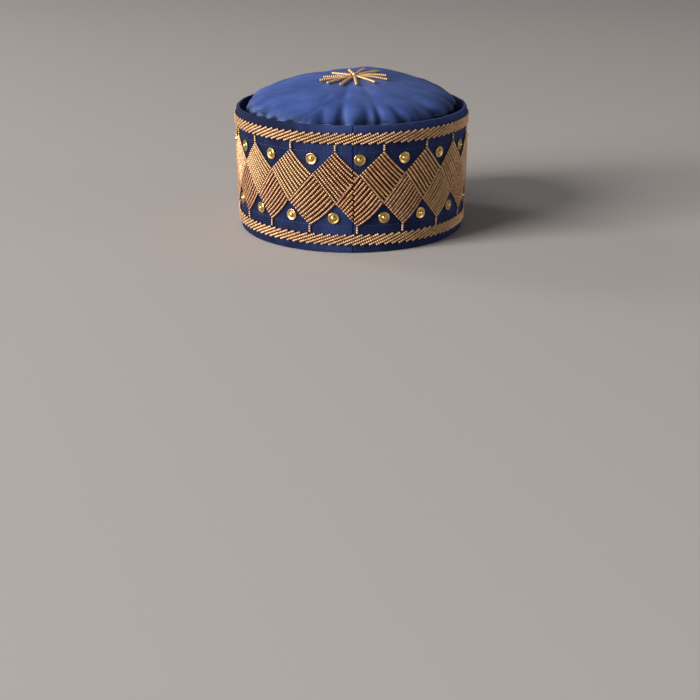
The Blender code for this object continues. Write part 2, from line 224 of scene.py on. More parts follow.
class Finish:
    """A material, and the one method that adds a node to it."""

    def __init__(self, name, constants):
        self.material = bpy.data.materials.new(name)
        self.material.use_nodes = True
        self.tree = self.material.node_tree
        self.shader = self.tree.nodes["Principled BSDF"]
        for socket, value in constants.items():
            self.shader.inputs[socket].default_value = value

    def plug(self, socket, value):
        if isinstance(value, Number):
            self.tree.links.new(value.socket, socket)
        else:
            socket.default_value = value

    def node(self, kind, settings=None, inputs=None, output=0):
        made = self.tree.nodes.new(kind)
        for name, value in (settings or {}).items():
            setattr(made, name, value)
        for name, value in (inputs or {}).items():
            self.plug(made.inputs[name], value)
        return Number(self, made.outputs[output])

    def mix(self, factor, first, second):
        """One colour fading into another."""
        return self.node("ShaderNodeMix", {"data_type": "RGBA"}, {0: factor, 6: first, 7: second}, output=2)

    def place(self, name, scale):
        """A coordinate painted on the mesh in metres, scaled along each axis."""
        raw = self.node("ShaderNodeAttribute", {"attribute_name": name}, output="Vector")
        return self.node("ShaderNodeVectorMath", {"operation": "MULTIPLY"}, {0: raw, 1: scale})

    def position(self):
        """The point itself, in metres."""
        return self.node("ShaderNodeTexCoord", output="Object")

    def painted(self, name):
        """A number painted on the mesh."""
        return self.node("ShaderNodeAttribute", {"attribute_name": name}, output="Fac")

    def noise(self, place, scale=1.0, detail=2.0):
        inputs = {"Vector": place, "Scale": scale, "Detail": detail}
        return self.node("ShaderNodeTexNoise", {}, inputs, output="Fac")

    def wave(self, place, direction):
        settings = {"wave_type": "BANDS", "bands_direction": direction, "wave_profile": "SIN"}
        return self.node("ShaderNodeTexWave", settings, {"Vector": place, "Scale": 1.0}, output="Fac")

    def bump(self, height, distance):
        bumped = self.node("ShaderNodeBump", {}, {"Height": height, "Distance": distance})
        self.plug(self.shader.inputs["Normal"], bumped)

    def wear(self, **inputs):
        """Feeds the surface's own sockets, such as Base_Color."""
        for name, value in inputs.items():
            self.plug(self.shader.inputs[name.replace("_", " ")], value)
        return self.material


print("shader words ready")

# %% [markdown]
# The wall, the crown, a string of beads, a stud and a thread are all rows of points that go round and meet
# themselves. One helper lists the faces between such rows, and others close them with a fan or with flat
# ends. A finished mesh is put in the scene with its material, and numbers are painted on its points for the
# material to read.

# %% Join rows of points
def make_mesh(name, points, faces):
    mesh = bpy.data.meshes.new(name)
    mesh.from_pydata(points, [], faces)
    return mesh


def show(name, mesh, material):
    """Puts a mesh in the scene with its finish, fixed to the cap."""
    piece = add_object(name, mesh)
    mesh.materials.append(material)
    mesh.shade_smooth()
    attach(piece, "root")
    return piece


def paint(mesh, name, values):
    """Keeps one number for each point."""
    layer = mesh.attributes.new(name, "FLOAT", "POINT")
    layer.data.foreach_set("value", np.ascontiguousarray(values, np.float32).ravel())


def faces_between(rows, columns, closed=False):
    """Faces from each row of points to the next. Every row goes round, and if closed the rows do too."""
    r, c = np.meshgrid(np.arange(rows if closed else rows - 1), np.arange(columns), indexing="ij")
    r2, c2 = (r + 1) % rows, (c + 1) % columns
    faces = np.stack([r * columns + c, r * columns + c2, r2 * columns + c2, r2 * columns + c], -1)
    return faces.reshape(-1, 4)


def fan(first, columns, centre, turned=False):
    """Faces from a row that goes round to one point, facing down if turned."""
    here = first + np.arange(columns)
    after = first + (np.arange(columns) + 1) % columns
    here, after = (after, here) if turned else (here, after)
    return np.stack([here, after, np.full(columns, centre)], 1).tolist()


def tube_faces(rows, columns, first):
    """Faces of a tube with flat ends, whose points are numbered from first on."""
    around = (faces_between(rows, columns) + first).tolist()
    start = list(range(first, first + columns))
    end = list(range(first + (rows - 1) * columns, first + rows * columns))
    return [*around, start[::-1], end]


def tube_points(centre, side, up, radii, turn):
    """Rings of points round a tube's centres, with one radius for each ring."""
    ring = side[:, None] * np.cos(turn)[None, :, None] + up[:, None] * np.sin(turn)[None, :, None]
    return (centre[:, None] + ring * radii[:, None, None]).reshape(-1, 3)


print("rows ready")

# %% [markdown]
# The wall is navy velvet over a stiff interlining. Velvet is short upright threads: it looks dark from
# straight ahead and pale where it is seen edge on, which the shader's sheen gives. The pile lies in soft
# patches, and its grain is fine noise in the bump. A number painted on the band adds painted light and
# shade to its colour: paler in some stretches and along the rim, darker in others and inside the wall.

# %% Finish the navy velvet
def navy_velvet():
    sheen = {"Sheen Weight": 0.30, "Sheen Roughness": 0.35, "Sheen Tint": (0.25, 0.38, 0.95, 1)}
    finish = Finish("navy_velvet", {**sheen, "Roughness": 0.85, "Specular IOR Level": 0.15})
    patches = finish.noise(finish.place("cloth", (90, 70, 1)), detail=3.0)
    pile = finish.noise(finish.place("cloth", (2600, 2600, 1)), detail=2.0)
    brushed = finish.noise(finish.place("cloth", (1500, 240, 1)), detail=2.0)
    # The painted number carries painted light and shade into the velvet's tone.
    tone = finish.painted("nap") + (patches - 0.5) * 0.8 + (brushed - 0.5) * 0.5 + (pile - 0.5) * 0.5
    base = finish.mix(tone, (0.0045, 0.0080, 0.036, 1), (0.030, 0.052, 0.175, 1))
    finish.bump(pile + brushed * 0.7, 0.00012)
    return finish.wear(Base_Color=base)


velvet = navy_velvet()
print("made", velvet.name)

# %% [markdown]
# The band could stay the plain solid. Cloth shows its making, though: the fold at the rim is soft and a
# little uneven, rows of stitches pull it in, and the back seam is a narrow groove between two turned
# edges. So the wall is a grid, finer beside the seam, with small offsets along its outer side. The cloth's
# own measure is kept on it, in metres, for the weave to follow. It is kept on face corners, where the last
# column can meet the first without a jump.

# %% Sew the band
COLUMNS = 612
CLOSE_COLUMNS = (0, 0.2, 0.4, 0.6, 0.9, 1.3, 1.8)
OUTSIDE_ROWS, RIM_ROWS, INSIDE_ROWS = 44, 11, 10
RIM_RADIUS = WALL / 2
HEM_RADIUS = 0.5 * MM
SEAM_WIDTH = 0.6 * MM
SEAM_DEPTH = 1.0 * MM
SEAM_PUCKER = 0.5 * MM
SEAM_ROLL, ROLL_PLACE, ROLL_WIDTH = 0.25 * MM, 1.4 * MM, 0.9 * MM
STITCH_ROWS = (72.0 * MM, 19.6 * MM)
STITCH_DIP, STITCH_SPREAD = 0.18 * MM, 0.7 * MM
SOFT_RIM = 6 * MM
#            waves phase  mm
RIM_SWAY = ((9, 1.1, 0.16),
            (23, 0, 0.12),
            (51, 2, 0.07))
# The velvet's own mean tone, then painted shade inside the wall and strokes of painted light and shade round
# the girth.
VELVET_TONE = 0.36
INSIDE_PAINTED_SHADE = 0.4
#               side    width  paler
PAINTED_LIGHT_STROKES = ((-0.020, 0.022, 0.34),
               (0.24, 0.08, 0.46),
               (-0.18, 0.12, -0.42))


def near(distance, width):
    return np.exp(-((distance / width) ** 2))


def band_section():
    """The wall's section as insets and heights: up the outside, over the rim, down the inside, under."""
    rising = np.linspace(HEM_RADIUS, HEIGHT - RIM_RADIUS, OUTSIDE_ROWS)
    falling = np.linspace(HEIGHT - RIM_RADIUS, HEM_RADIUS, INSIDE_ROWS)
    turn = np.linspace(0, math.pi, RIM_ROWS + 2)[1:-1]
    outside = np.stack([np.zeros(OUTSIDE_ROWS), rising], 1)
    rim = np.stack([RIM_RADIUS * (1 - np.cos(turn)), HEIGHT - RIM_RADIUS + RIM_RADIUS * np.sin(turn)], 1)
    inside = np.stack([np.full(INSIDE_ROWS, WALL), falling], 1)
    under = np.array([[WALL - HEM_RADIUS, 0], [WALL / 2, 0], [HEM_RADIUS, 0]])
    return np.concatenate([outside, rim, inside, under])


def band_shares():
    """Even columns, and closer ones beside the seam, which are listed in mm."""
    close = np.array(CLOSE_COLUMNS) * MM / GIRTH
    clear = close[-1] * 1.3
    even = np.linspace(0, 1, COLUMNS, endpoint=False)
    even = even[(even > clear) & (even < 1 - clear)]
    return np.unique(np.concatenate([close, even, 1 - close[1:]]))


def painted_velvet_light(share, height):
    """Painted light and shade on the velvet, with faint ripples of tone: paler just left of the seam, at the
    far right and along the rim, and darker at the left, on the rim's left end and just right of the seam.
    """
    side = (share + 0.5) % 1 - 0.5
    rise = height / HEIGHT
    nap = VELVET_TONE + sum(paler * near(side - at, width) for at, width, paler in PAINTED_LIGHT_STROKES)
    nap = nap - 0.16 * near(side - 0.045, 0.045) * (1 - rise * 0.7)
    # A painted highlight along the rim, strongest from a little left of the seam onwards, and painted shade
    # on the rim at the left.
    fold = 0.10 * near(rise - 1, 0.05) + 0.45 * near(rise - 1, 0.07) * np.clip((side + 0.09) / 0.08, 0, 1)
    rim_shade = 0.50 * near(rise - 1, 0.09) * near(side + 0.18, 0.10)
    ripple = 0.05 * np.sin(17 * np.pi * side + 6 * rise) * np.sin(9 * np.pi * side - 4 * rise)
    return nap + fold - rim_shade + ripple


def measured_mesh(name, points, cloth):
    """A closed grid of points with the cloth's measure at each. The measure has one column more."""
    rows, columns = points.shape[:2]
    mesh = make_mesh(name, points.reshape(-1, 3), faces_between(rows, columns, True).tolist())
    r, c = np.meshgrid(np.arange(rows), np.arange(columns), indexing="ij")
    r2 = (r + 1) % rows
    measure = np.stack([cloth[r, c], cloth[r, c + 1], cloth[r2, c + 1], cloth[r2, c]], 2).reshape(-1, 2)
    flat = np.concatenate([measure, np.zeros((len(measure), 1))], 1)
    layer = mesh.attributes.new("cloth", "FLOAT_VECTOR", "CORNER")
    layer.data.foreach_set("vector", flat.astype(np.float32).ravel())
    return mesh


def sew_band():
    profile = band_section()
    shares = band_shares()
    inset, height = profile.T[:, :, None]
    share = shares[None, :]
    along = share * 2 * np.pi
    from_seam = np.minimum(share, 1 - share) * GIRTH
    outer = np.clip(1 - inset / WALL, 0, 1)
    out = -inset * np.ones_like(share)
    out = out - outer * SEAM_DEPTH * near(from_seam, SEAM_WIDTH / 2)
    out = out + outer * SEAM_ROLL * near(from_seam - ROLL_PLACE, ROLL_WIDTH)
    for row in STITCH_ROWS:
        out = out - outer * STITCH_DIP * near(height - row, STITCH_SPREAD)
    sway = MM * sum(size * np.sin(waves * along + phase) for waves, phase, size in RIM_SWAY)
    on_rim = np.clip((height - (HEIGHT - SOFT_RIM)) / SOFT_RIM, 0, 1)
    out = out + sway * on_rim
    lift = on_rim * (0.6 * sway - SEAM_PUCKER * near(from_seam, SEAM_WIDTH / 2))
    points = wall(share, height, 0.0) + outward(share, height) * out[..., None]
    points[..., 2] = height + lift
    cloth = np.stack(np.meshgrid(np.append(shares, 1.0) * GIRTH, arc_lengths(profile)), -1)
    mesh = measured_mesh("velvet_band", points, cloth)
    # The band is painted with light and shade, and the inside of the wall is painted darker as painted
    # shade.
    paint(mesh, "nap", painted_velvet_light(share, height) * (INSIDE_PAINTED_SHADE + (1 - INSIDE_PAINTED_SHADE) * outer))
    band = show("velvet_band", mesh, velvet)
    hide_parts("band")
    return band


band = sew_band()
print("band:", len(band.data.polygons), "faces")

# %% [markdown]
# The crown is an oval of cotton sateen, cut larger than its place, gathered round its edge and sewn inside
# the rim. Sateen floats its threads over the surface, so it has a soft gloss along its folds. The crown's
# finish has a fine twill grain and slow changes of tone. Painted shade darkens it deep in the gathers,
# close to the seam, a little towards the right, and on the skirt hidden under the rim.

# %% Finish the blue sateen
def blue_sateen():
    gloss = {"Specular IOR Level": 0.85, "Specular Tint": (0.42, 0.58, 1.0, 1)}
    sheen = {"Sheen Weight": 0.05, "Sheen Roughness": 0.35, "Sheen Tint": (0.35, 0.5, 1.0, 1)}
    finish = Finish("blue_sateen", {**sheen, **gloss})
    warp = finish.wave(finish.place("cloth", (1250, 800, 1)), "X")
    weft = finish.wave(finish.place("cloth", (500, 1400, 1)), "Y")
    slub = finish.noise(finish.place("cloth", (60, 900, 1)), detail=2.0)
    clouds = finish.noise(finish.place("cloth", (70, 70, 1)), detail=3.0)
    broad = finish.noise(finish.place("cloth", (22, 22, 1)), detail=1.0)
    painted_shade = finish.painted("fold")
    tone = clouds * 1.2 + broad * 1.3 + slub * 0.3 + warp * 0.1 - 0.95
    cloth = finish.mix(tone, (0.034, 0.066, 0.265, 1), (0.099, 0.177, 0.535, 1))
    # Painted shade from the crown's mesh darkens the cloth towards a deep navy.
    base = finish.mix(painted_shade, cloth, (0.005, 0.009, 0.045, 1))
    finish.bump(warp * 0.4 + weft * 0.4 + slub * 1.4, 0.00005)
    return finish.wear(Base_Color=base, Roughness=0.50 - slub * 0.10)


sateen = blue_sateen()
print("made", sateen.name)

# %% [markdown]
# The crown's form is worked out in layers. A dome gives the puffed outline, which leans and rises to a soft
# peak. Twenty-six main gathers draw it in at the edge, each with its own depth, width and reach, and each
# leaves a wide shallow valley above it. Small puckers fill the edge between them, and long faint creases
# cross the top.

# %% Shape the dome
CROWN_GROOVE = 4.5 * MM
CROWN_BASE = HEIGHT - 4.8 * MM
CROWN_SEAM = HEIGHT - 9.5 * MM
CROWN_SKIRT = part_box("crown")[0].z
CROWN_THICKNESS = 1.2 * MM
CROWN_RISE = 23.9 * MM
FLATNESS, SHOULDER = 1.8, 2.5
LEAN_FRONT, LEAN_SIDE = 0.27, 0.075
PEAK_HEIGHT = 2.3 * MM
PEAK = (17 * MM, 40 * MM)
PEAK_SPREAD = (11 * MM, 30 * MM)
FIT = 0.3 * MM
crown_width = HALF_WIDTH - WALL - CROWN_GROOVE
crown_depth = HALF_DEPTH - WALL - CROWN_GROOVE


def dome(reach, angle):
    """Points of the crown without its folds. Reach is 1 at its base and 0 at its centre."""
    reach, angle = np.broadcast_arrays(reach, angle)
    x = crown_width * reach * np.sin(angle)
    y = -crown_depth * reach * np.cos(angle)
    profile = np.clip(1 - reach**FLATNESS, 0, None) ** (1 / SHOULDER)
    lean = 1 + LEAN_FRONT * y / crown_depth + LEAN_SIDE * x / crown_width
    off = ((x - PEAK[0]) / PEAK_SPREAD[0]) ** 2 + ((y - PEAK[1]) / PEAK_SPREAD[1]) ** 2
    return np.stack([x, y, CROWN_BASE + CROWN_RISE * profile * lean + PEAK_HEIGHT * np.exp(-off / 2)], -1)


print("crown centre", np.round(1000 * dome(np.array(0.0), np.array(0.0)), 1), "mm")

# %% [markdown]
# A gather is a row of a table: where it lies from the back seam in degrees, how deep it is beside the
# deepest one, how wide in degrees, how far it reaches towards the centre, and how much it slants. The
# gathers at the back are the ones that the eye meets first.

# %% Gather the edge
GATHER_DEPTH = 4.2 * MM
#          angle  depth  width reach  slant
GATHERS = ((-78, 0.50, 2.6, 0.10, 0),
           (-66, 0.75, 2.2, 0.14, 4),
           (-56, 1.10, 2.4, 0.15, 0),
           (-47, 0.90, 2.4, 0.17, 6),
           (-35, 1.00, 3.2, 0.25, 14),
           (-16, 0.55, 3.4, 0.26, -4),
           (-7.0, 0.95, 3.0, 0.36, 0),
           (6.6, 1.15, 3.6, 0.26, 3),
           (14.5, 0.90, 2.6, 0.32, 2),
           (28, 0.60, 3.2, 0.26, -3),
           (40, 0.25, 4.0, 0.20, 0),
           (51, 0.50, 4.0, 0.22, -5),
           (66, 0.40, 3.6, 0.18, 0),
           (81, 0.60, 4.0, 0.20, -6),
           (97, 0.45, 3.4, 0.26, 5),
           (112, 0.80, 3.6, 0.24, 0),
           (129, 0.50, 4.0, 0.30, -7),
           (146, 0.70, 3.4, 0.22, 4),
           (161, 0.45, 3.8, 0.28, -3),
           (177, 0.85, 3.4, 0.26, 0),
           (194, 0.50, 3.8, 0.22, 5),
           (210, 0.75, 3.4, 0.30, -6),
           (228, 0.45, 4.0, 0.24, 0),
           (244, 0.65, 3.4, 0.20, 5),
           (262, 0.50, 3.6, 0.26, 0),
           (272, 0.40, 3.0, 0.14, 0))
GATHER_NARROWS, GATHER_FADE = 0.45, 1.3
VALLEY_REACH, VALLEY_WIDTH, VALLEY_FADE = 2.4, 1.5, 0.8
PUCKERS = 71
PUCKER_DEPTH = 0.55 * MM
PUCKER_WIDTH, PUCKER_REACH = 1.3, 0.10
chance = np.random.default_rng(5)
pucker_phase = chance.uniform(-0.5, 0.5, PUCKERS)
pucker_depth = chance.uniform(0.25, 1.0, PUCKERS)


def degrees_from(angle, at, slant=0):
    """How far an angle lies from a place in degrees, the short way round."""
    return (np.degrees(angle) - at - slant + 180) % 360 - 180


def folds(reach, angle):
    """How deep the gathers draw the cloth in, as a share of the deepest one."""
    total = 0
    for at, depth, width, length, slant in GATHERS:
        inward = np.clip((1 - reach) / length, 0, 1)
        narrow = width * (1 - GATHER_NARROWS * inward)
        off = degrees_from(angle, at, slant * inward)
        total = total + depth * near(off, narrow) * (1 - inward) ** GATHER_FADE
    return total


def valleys(reach, angle):
    """The wide shallow hollow that each gather leaves in the cloth above it."""
    total = 0
    for at, depth, width, length, slant in GATHERS:
        inward = np.clip((1 - reach) / (VALLEY_REACH * length), 0, 1)
        off = degrees_from(angle, at, slant * (1 - reach) / length)
        total = total + depth * near(off, VALLEY_WIDTH * width) * (1 - inward) ** VALLEY_FADE
    return total


def puckers(reach, angle):
    """Small gathers close to the stitching."""
    held = np.clip(1 - (1 - reach) / PUCKER_REACH, 0, 1)
    places = 360 / PUCKERS * (np.arange(PUCKERS) + pucker_phase)
    return sum(depth * near(degrees_from(angle, at), PUCKER_WIDTH) * held
               for at, depth in zip(places, pucker_depth))


print(len(GATHERS), "gathers and", PUCKERS, "puckers")

# %% [markdown]
# Each point is pushed in along the dome's own normal, which is measured on the grid itself. Between the
# gathers the cloth billows out a little. Below the base the cloth turns down to the seam, where it is
# flat against the wall. Last, the surface is given its thickness, as a second grid inside the first.

# %% Sew the crown
CROWN_ROWS, CROWN_COLUMNS = 58, 480
ROW_CROWDING = 1.5
LAST_ROW = 0.985
BILLOW, BILLOWS = 0.9 * MM, 13
BILLOW_FROM = 0.55
VALLEY_DEPTH = 1.3 * MM
CREASE_DEPTH = 0.35 * MM
SEAM_FROM, SEAM_LEVEL = 0.97, 0.55
TURN_DROP = 1.2 * MM
SKIRT_ROWS = 4
GATHER_SHADE, PUCKER_SHADE, LOW_SHADE, RIGHT_SHADE = 1.1, 0.5, 0.75, 0.24
LOW_PART = 0.5
CREASES = ((-84, 5.0, 0.45, 0.40), (-72, 4.0, 0.40, 0.35), (-100, 4.5, 0.50, 0.40), (-118, 5.5, 0.45, 0.35),
           (62, 5.0, 0.50, 0.35), (78, 4.0, 0.55, 0.40), (95, 4.5, 0.50, 0.35), (112, 5.0, 0.45, 0.40),
           (150, 6.0, 0.50, 0.35), (-150, 6.0, 0.45, 0.40), (20, 6.0, 0.45, 0.30), (-24, 5.5, 0.40, 0.30))


def creases(reach, angle):
    """Long shallow rays over the top, each with its angle, width, place and length along the way in."""
    return sum(near(degrees_from(angle, at) * reach, width * 0.45) * near(reach - place - 0.2, length)
               for at, width, place, length in CREASES)


def grid_normals(points):
    across = np.roll(points, -1, 1) - np.roll(points, 1, 1)
    along = np.gradient(points, axis=0)
    return unit(np.cross(across, along))


def crown_surface():
    """The crown's outer side as a grid from the skirt to its centre, and how deep its shade is."""
    angle = np.linspace(0, 2 * np.pi, CROWN_COLUMNS, endpoint=False)[None, :]
    reach = (1 - np.linspace(0, 1, CROWN_ROWS) ** ROW_CROWDING * LAST_ROW)[:, None]
    smooth = dome(reach, angle)
    normals = grid_normals(smooth)
    gathers = folds(reach, angle)
    small = puckers(reach, angle)
    edge = np.clip((reach - BILLOW_FROM) / (1 - BILLOW_FROM), 0, 1) ** 1.5
    between = 1 - np.clip(2.2 * gathers, 0, 1)
    billow = BILLOW * edge * between * (0.6 + 0.4 * np.sin(BILLOWS * angle + 1))
    push = billow - GATHER_DEPTH * gathers - PUCKER_DEPTH * small - CREASE_DEPTH * creases(reach, angle)
    push = push - VALLEY_DEPTH * valleys(reach, angle)
    level = normals * [1, 1, SEAM_LEVEL]
    points = smooth + np.where(reach[..., None] > SEAM_FROM, level, normals) * push[..., None]
    skirt_x = HALF_WIDTH - WALL - DRAW_IN * (HEIGHT - CROWN_SKIRT) / HEIGHT - FIT
    skirt_y = skirt_x + HALF_DEPTH - HALF_WIDTH
    oval = np.stack([skirt_x * np.sin(angle[0]), -skirt_y * np.cos(angle[0]), np.zeros(CROWN_COLUMNS)], -1)
    skirt = oval + [0, 0, CROWN_SKIRT]
    seam = oval + [0, 0, CROWN_SEAM]
    turn = (points[0] + seam) / 2 - [0, 0, TURN_DROP]
    points = np.concatenate([[skirt, (skirt + seam) / 2, seam, turn], points])
    # Painted shade: darker in the gathers and puckers, low down near the base, towards the right, and full
    # on the skirt rows under the rim.
    low = np.clip(1 - (smooth[..., 2] - CROWN_BASE) / (LOW_PART * CROWN_RISE), 0, 1)
    aside = np.clip(smooth[..., 0] / crown_width, 0, 1)
    shade = GATHER_SHADE * gathers + PUCKER_SHADE * small + LOW_SHADE * low + RIGHT_SHADE * aside
    depth = np.concatenate([np.ones((SKIRT_ROWS, CROWN_COLUMNS)), np.clip(shade, 0, 1)])
    return points, depth


def sew_crown():
    outer, depth = crown_surface()
    inner = outer - grid_normals(outer) * CROWN_THICKNESS
    shrink = 1 - CROWN_THICKNESS / HALF_WIDTH
    inner[:SKIRT_ROWS] = outer[:SKIRT_ROWS] * [shrink, shrink, 1]
    rows, columns = outer.shape[:2]
    points = np.concatenate([outer, inner[::-1]]).reshape(-1, 3)
    vertices = np.concatenate([points, [outer[-1].mean(0), inner[-1].mean(0)]])
    over, under = (rows - 1) * columns, rows * columns
    faces = np.delete(faces_between(2 * rows, columns, True), np.s_[over:under], 0).tolist()
    faces += fan(over, columns, len(points)) + fan(under, columns, len(points) + 1, turned=True)
    mesh = make_mesh("sateen_crown", vertices, faces)
    layer = mesh.attributes.new("cloth", "FLOAT_VECTOR", "POINT")
    layer.data.foreach_set("vector", vertices.astype(np.float32).ravel())
    paint(mesh, "fold", np.concatenate([depth.ravel(), depth[::-1].ravel(), [0, 0]]))
    crown = show("sateen_crown", mesh, sateen)
    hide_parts("crown")
    return crown


crown = sew_crown()
print("crown:", len(crown.data.polygons), "faces")

# %% [markdown]
# A string of beads is a tube whose radius swells once for every bead. Four rings make a bead: one in the
# groove between two beads, one round its middle and one on either side of that. All the strings of a piece
# go into one mesh, built from arrays, because thousands of separate spheres would be slow to make and heavy
# to keep. Every bead draws a number from a range of tints, and that number later picks its colour.

# %% Thread beads on strings
BEAD_PITCH = 1.5 * MM
STRING_SIDES = 6
PATH_STEPS = 65
#              place size
BEAD_RINGS = ((0.0, 0.30), (0.25, 0.90), (0.5, 1.0), (0.75, 0.90))
GROOVE_BELOW = 0.7
bead_luck = np.random.default_rng(11)


class Beadwork:
    """Collects strings of beads, then makes them one mesh."""

    def __init__(self, name, sides=STRING_SIDES, tint_and_sheen_range=(0.3, 1.0)):
        self.name = name
        self.sides = sides
        self.tint_and_sheen_range = tint_and_sheen_range
        self.points, self.tints, self.grooves, self.faces = [], [], [], []
        self.count = 0
        self.beads = 0

    def string(self, path, radius, pitch=BEAD_PITCH, taper=None):
        """Threads beads along a path, which gives points and outward directions at shares of the way."""
        fine = np.linspace(0, 1, PATH_STEPS)
        reached = arc_lengths(path(fine)[0])
        beads = max(1, round(reached[-1] / pitch))
        steps = [(bead + place) / beads for bead in range(beads) for place, _ in BEAD_RINGS] + [1.0]
        swell = np.array([size for _ in range(beads) for _, size in BEAD_RINGS] + [BEAD_RINGS[0][1]])
        steps = np.interp(np.array(steps) * reached[-1], reached, fine)
        centre, out = path(steps)
        tangent = unit(np.gradient(centre, axis=0))
        side = unit(np.cross(tangent, out))
        radii = radius * swell * (1.0 if taper is None else taper(steps))
        turn = 2 * np.pi * (np.arange(self.sides) + 0.5) / self.sides
        self.points.append(tube_points(centre, side, np.cross(side, tangent), radii, turn))
        self.faces += tube_faces(len(steps), self.sides, self.count)
        tint = np.repeat(bead_luck.uniform(*self.tint_and_sheen_range, beads), len(BEAD_RINGS))
        self.tints.append(np.repeat(np.append(tint, tint[-1]), self.sides))
        self.grooves.append(np.repeat((swell < GROOVE_BELOW).astype(float), self.sides))
        self.count += len(steps) * self.sides
        self.beads += beads

    def sew(self, material, *nodes):
        mesh = make_mesh(self.name, np.concatenate(self.points), self.faces)
        paint(mesh, "tint", np.concatenate(self.tints))
        paint(mesh, "groove", np.concatenate(self.grooves))
        piece = show(self.name, mesh, material)
        if nodes:
            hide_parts(*nodes)
        print(f"{self.name}: {self.beads} beads, {len(mesh.polygons)} faces")


print("ready to thread")

# %% [markdown]
# The beads are glass lined with bronze-gold metal. A finish that is half metal gives the lining's colour,
# and the shader's coat stands for the clear glass over it, with its own small pale highlight. No two beads
# are alike, so each one's number picks its place between copper and pale gold. The grooves between beads
# are painted darker and browner, as painted shade.

# %% Finish the gold beads
def gold_beads():
    coat = {"Coat Weight": 1.0, "Coat Roughness": 0.22, "Coat IOR": 1.6}
    finish = Finish("gold_beads", {"Metallic": 0.5, **coat})
    tint = finish.painted("tint")
    groove = finish.painted("groove")
    lining = finish.mix(tint, (0.560, 0.255, 0.115, 1), (1.000, 0.635, 0.310, 1))
    # Painted shade in the grooves between beads.
    base = finish.mix(groove * 0.95, lining, (0.110, 0.040, 0.013, 1))
    return finish.wear(Base_Color=base, Roughness=0.30 + tint * 0.10 + groove * 0.20)


gold = gold_beads()
print("made", gold.name)

# %% [markdown]
# Under the strings lies a thin brown felt, which keeps them level and shows as the dark warm colour between
# them. It is a low strip that follows the zigzag of the tips and notches, and it is open at the back seam.
# Each braid has a straight strip of its own.

# %% Cut the felt
FELT_FLOOR, FELT_RISE = 0.05 * MM, 0.35 * MM
FELT_INSET, BRAID_FELT_INSET = 0.7 * MM, 2.0 * MM
FELT_STEPS = 613
SEAM_CLEAR = 0.30 * MM


def brown_felt():
    finish = Finish("brown_felt", {"Roughness": 0.95, "Sheen Weight": 0.2, "Specular IOR Level": 0.1})
    place = finish.position()
    fibres = finish.noise(place, scale=1800, detail=2.0)
    patches = finish.noise(place, scale=120, detail=2.0)
    finish.bump(fibres, 0.0001)
    tone = fibres * 0.6 + patches * 0.4
    return finish.wear(Base_Color=finish.mix(tone, (0.030, 0.010, 0.004, 1), (0.11, 0.040, 0.014, 1)))


def zigzag(shares, first, second):
    """Heights of a line through even and odd half steps, each a column of the table and a height."""
    places = range(-1, HALF_STEPS + 3)
    knots = [share_of(k, (first, second)[k % 2][0]) for k in places]
    heights = [(first, second)[k % 2][1] for k in places]
    return np.interp(shares, knots, heights)


def low_line(shares):
    return zigzag(shares, (LOW, lower_notch), (LOW, lower_tip))


def high_line(shares):
    return zigzag(shares, (HIGH, upper_tip), (HIGH, upper_notch))


def cut_felt(name, low, high, inset=FELT_INSET):
    """A strip between two lines, closed at its ends: under side, edge and top as four rows of points."""
    shares = np.linspace(SEAM_CLEAR / GIRTH, 1 - SEAM_CLEAR / GIRTH, FELT_STEPS)
    bottom, top = low(shares) + inset, high(shares) - inset
    rows = [(bottom, FELT_FLOOR), (bottom, FELT_RISE), (top, FELT_RISE), (top, FELT_FLOOR)]
    points = np.concatenate([wall(shares, height) + outward(shares, height) * out for height, out in rows])
    c = np.arange(len(shares) - 1)
    faces = []
    for row in range(4):
        a, b = row * len(shares), (row + 1) % 4 * len(shares)
        faces += np.stack([a + c, a + c + 1, b + c + 1, b + c], 1).tolist()
    ends = np.arange(4) * len(shares)
    faces += [ends.tolist(), (ends + len(shares) - 1)[::-1].tolist()]
    return make_mesh(name, points, faces)


felt = brown_felt()
show("lattice_felt", cut_felt("lattice_felt", low_line, high_line), felt)
for name, (low, high) in (("upper_braid_felt", braid_up), ("lower_braid_felt", braid_down)):
    strip = cut_felt(name, lambda s: np.full_like(s, low), lambda s: np.full_like(s, high), BRAID_FELT_INSET)
    show(name, strip, felt)

# %% [markdown]
# A diamond is ten strings laid side by side. An upper one's strings run from its top left edge to its lower
# right edge, and a lower one's from its lower left edge to its top right edge, so the light breaks
# differently on each row. In a lower diamond each string sags a little more than the one above it. A string
# that crosses the back seam is cut there, and its two ends stop short of the groove.

# %% Fill the diamonds
STRINGS = 10
STRING_RADIUS = 0.88 * MM
FIRST_STRING, STRING_SPREAD = 0.035, 0.93
END_GAP = 0.15 * MM
SHORTEST = 0.6 * MM
SAG = 1.2 * MM
SUNK = 0.9
HAND = 0.10 * MM


def wall_path(start, end, lay, sag=0.0, part=(0, 1)):
    """A run over the wall between two places, each a share and a height, or one part of such a run."""
    start, end = np.array(start), np.array(end)
    run = (end - start) * [GIRTH, 1]
    aside = np.array([run[1], -run[0]]) / np.hypot(*run) / [GIRTH, 1]

    def path(steps):
        steps = (part[0] + (part[1] - part[0]) * np.asarray(steps))[:, None]
        at = start + (end - start) * steps + aside * sag * 4 * steps * (1 - steps)
        out = outward(at[:, 0], at[:, 1])
        return wall(at[:, 0], at[:, 1]) + out * lay, out

    return path


def parts_beside_seam(start, end):
    """The stretches of a run, as shares of it: one, or two where it crosses the back seam."""
    length = math.hypot((end[0] - start[0]) * GIRTH, end[1] - start[1])
    spans = [(END_GAP / length, 1 - END_GAP / length)]
    low, high = sorted((start[0], end[0]))
    crossing = math.ceil(low - 1e-9)
    if low < crossing < high:
        at = (crossing - start[0]) / (end[0] - start[0])
        clear = SEAM_CLEAR / abs((end[0] - start[0]) * GIRTH)
        spans = [(spans[0][0], at - clear), (at + clear, spans[0][1])]
    return [(a, b) for a, b in spans if (b - a) * length > SHORTEST]


